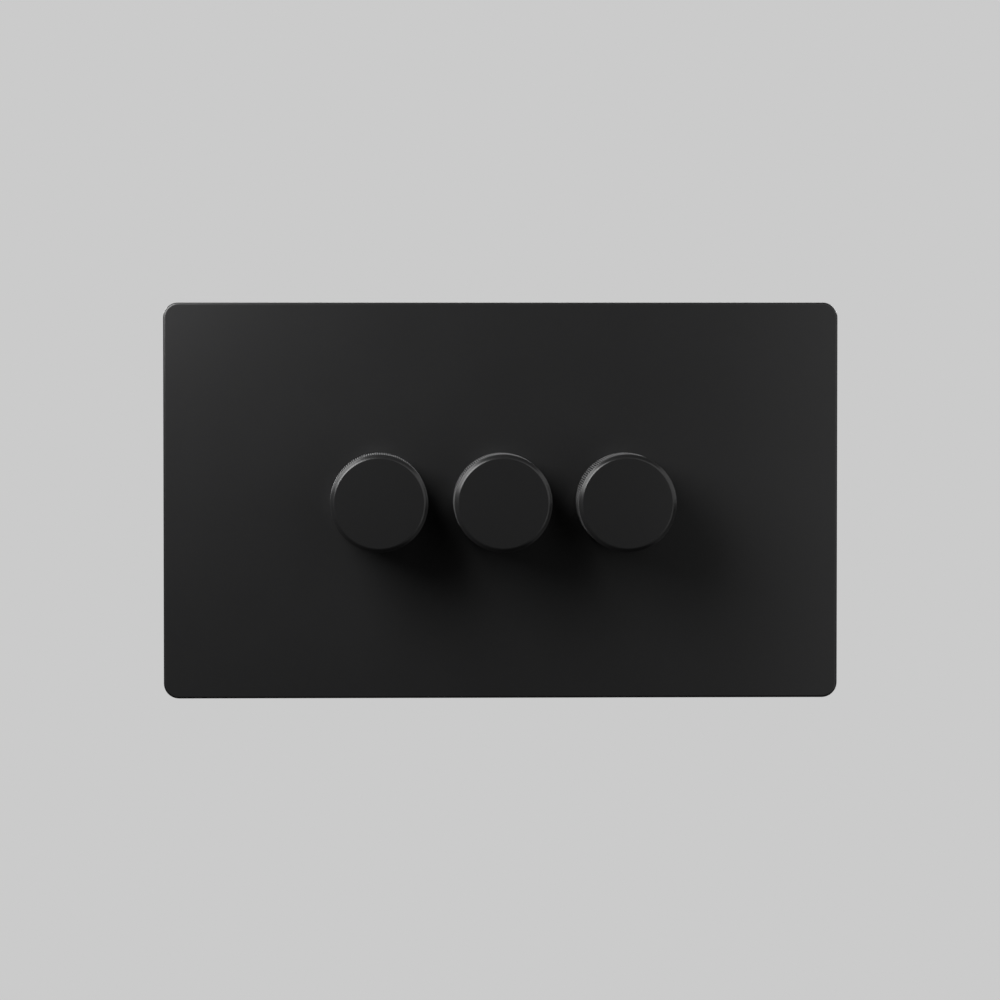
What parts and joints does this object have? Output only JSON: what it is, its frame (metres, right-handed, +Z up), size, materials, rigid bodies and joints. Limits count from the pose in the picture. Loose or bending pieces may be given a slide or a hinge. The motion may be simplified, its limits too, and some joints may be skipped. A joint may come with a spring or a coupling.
{
  "type": "rotary dimmer wall plate",
  "caption": "Flat black screwless wall plate with a row of diamond-knurled push-and-turn dimmer knobs, and the dimmer modules behind it.",
  "frame": {"origin": "centre of the plate on the wall's surface, which is the plane of the back of the plate's rim", "axes": "+X to the right as seen from the room, +Y into the wall, +Z up"},
  "size_m": [0.1466, 0.0482, 0.086],
  "materials": {
    "plate_coat": "matt black powder coat on steel",
    "knob_coat": "matt black plating on a diamond-knurled knob",
    "zinc_steel": "zinc-plated steel sheet",
    "spring_steel": "spring steel",
    "plated_screw": "zinc-plated steel screw",
    "black_steel": "black oxide steel",
    "nickel_brass": "nickel-plated brass",
    "aluminium_sheet": "rolled aluminium sheet",
    "casing_plastic": "fine textured black moulding",
    "board_laminate": "green glass-fibre laminate",
    "control_plastic": "dark grey moulding",
    "white_plastic": "natural white moulding",
    "ferrite": "dark grey ferrite",
    "copper_wire": "enamelled copper",
    "transistor_case": "black epoxy moulding",
    "capacitor_case": "yellow boxed film capacitor",
    "brass": "plain brass"
  },
  "bodies": {
    "root": {"front_plate": "plate_coat", "mounting_frame": "zinc_steel", "plate_clips": "spring_steel", "box_screws": "plated_screw", "bush_nuts": "nickel_brass", "lock_washers": "spring_steel", "casing_screws": "plated_screw", "capacitors": "capacitor_case", "terminal_clamps": "brass", "terminal_screws": "plated_screw", "earth_terminal": "brass", "earth_screw": "plated_screw", "left_bush": "nickel_brass", "left_heat_sink": "aluminium_sheet", "left_casing": "casing_plastic", "left_circuit_board": "board_laminate", "left_control_housing": "control_plastic", "left_switch_housing": "control_plastic", "left_return_spring": "spring_steel", "left_choke_core": "ferrite", "left_choke_winding": "copper_wire", "left_transistor": "transistor_case", "centre_bush": "nickel_brass", "centre_heat_sink": "aluminium_sheet", "centre_casing": "casing_plastic", "centre_circuit_board": "board_laminate", "centre_control_housing": "control_plastic", "centre_switch_housing": "control_plastic", "centre_return_spring": "spring_steel", "centre_choke_core": "ferrite", "centre_choke_winding": "copper_wire", "centre_transistor": "transistor_case", "right_bush": "nickel_brass", "right_heat_sink": "aluminium_sheet", "right_casing": "casing_plastic", "right_circuit_board": "board_laminate", "right_control_housing": "control_plastic", "right_switch_housing": "control_plastic", "right_return_spring": "spring_steel", "right_choke_core": "ferrite", "right_choke_winding": "copper_wire", "right_transistor": "transistor_case"},
    "left_plunger": {"left_switch_slider": "white_plastic"},
    "left_dial": {"left_knob": "knob_coat", "left_set_screw": "black_steel", "left_spindle": "nickel_brass", "left_retaining_ring": "spring_steel"},
    "left_wiper": {"left_wiper_rotor": "white_plastic"},
    "centre_plunger": {"centre_switch_slider": "white_plastic"},
    "centre_dial": {"centre_knob": "knob_coat", "centre_set_screw": "black_steel", "centre_spindle": "nickel_brass", "centre_retaining_ring": "spring_steel"},
    "centre_wiper": {"centre_wiper_rotor": "white_plastic"},
    "right_plunger": {"right_switch_slider": "white_plastic"},
    "right_dial": {"right_knob": "knob_coat", "right_set_screw": "black_steel", "right_spindle": "nickel_brass", "right_retaining_ring": "spring_steel"},
    "right_wiper": {"right_wiper_rotor": "white_plastic"}
  },
  "joints": [
    {"name": "left_push", "type": "slide", "parent": "root", "child": "left_plunger", "axis": [0, 1, 0], "range_m": [0, 0.0015], "stiffness_N_per_m": 850, "springref_m": -0.0035, "deforming": ["left_return_spring"]},
    {"name": "left_turn", "type": "hinge", "parent": "left_plunger", "child": "left_dial", "pos_m": [-0.0266, 0, 0], "axis": [0, 1, 0], "range_deg": [0, 280]},
    {"name": "left_wiper_turn", "type": "hinge", "parent": "root", "child": "left_wiper", "pos_m": [-0.0266, 0.006, 0], "axis": [0, 1, 0], "range_deg": [0, 280]},
    {"name": "centre_push", "type": "slide", "parent": "root", "child": "centre_plunger", "axis": [0, 1, 0], "range_m": [0, 0.0015], "stiffness_N_per_m": 850, "springref_m": -0.0035, "deforming": ["centre_return_spring"]},
    {"name": "centre_turn", "type": "hinge", "parent": "centre_plunger", "child": "centre_dial", "pos_m": [0, 0, 0], "axis": [0, 1, 0], "range_deg": [0, 280]},
    {"name": "centre_wiper_turn", "type": "hinge", "parent": "root", "child": "centre_wiper", "pos_m": [0, 0.006, 0], "axis": [0, 1, 0], "range_deg": [0, 280]},
    {"name": "right_push", "type": "slide", "parent": "root", "child": "right_plunger", "axis": [0, 1, 0], "range_m": [0, 0.0015], "stiffness_N_per_m": 850, "springref_m": -0.0035, "deforming": ["right_return_spring"]},
    {"name": "right_turn", "type": "hinge", "parent": "right_plunger", "child": "right_dial", "pos_m": [0.0266, 0, 0], "axis": [0, 1, 0], "range_deg": [0, 280]},
    {"name": "right_wiper_turn", "type": "hinge", "parent": "root", "child": "right_wiper", "pos_m": [0.0266, 0.006, 0], "axis": [0, 1, 0], "range_deg": [0, 280]}
  ],
  "couplings": [
    {"joint": "left_wiper_turn", "follows": "left_turn", "ratio": 1},
    {"joint": "centre_wiper_turn", "follows": "centre_turn", "ratio": 1},
    {"joint": "right_wiper_turn", "follows": "right_turn", "ratio": 1}
  ]
}
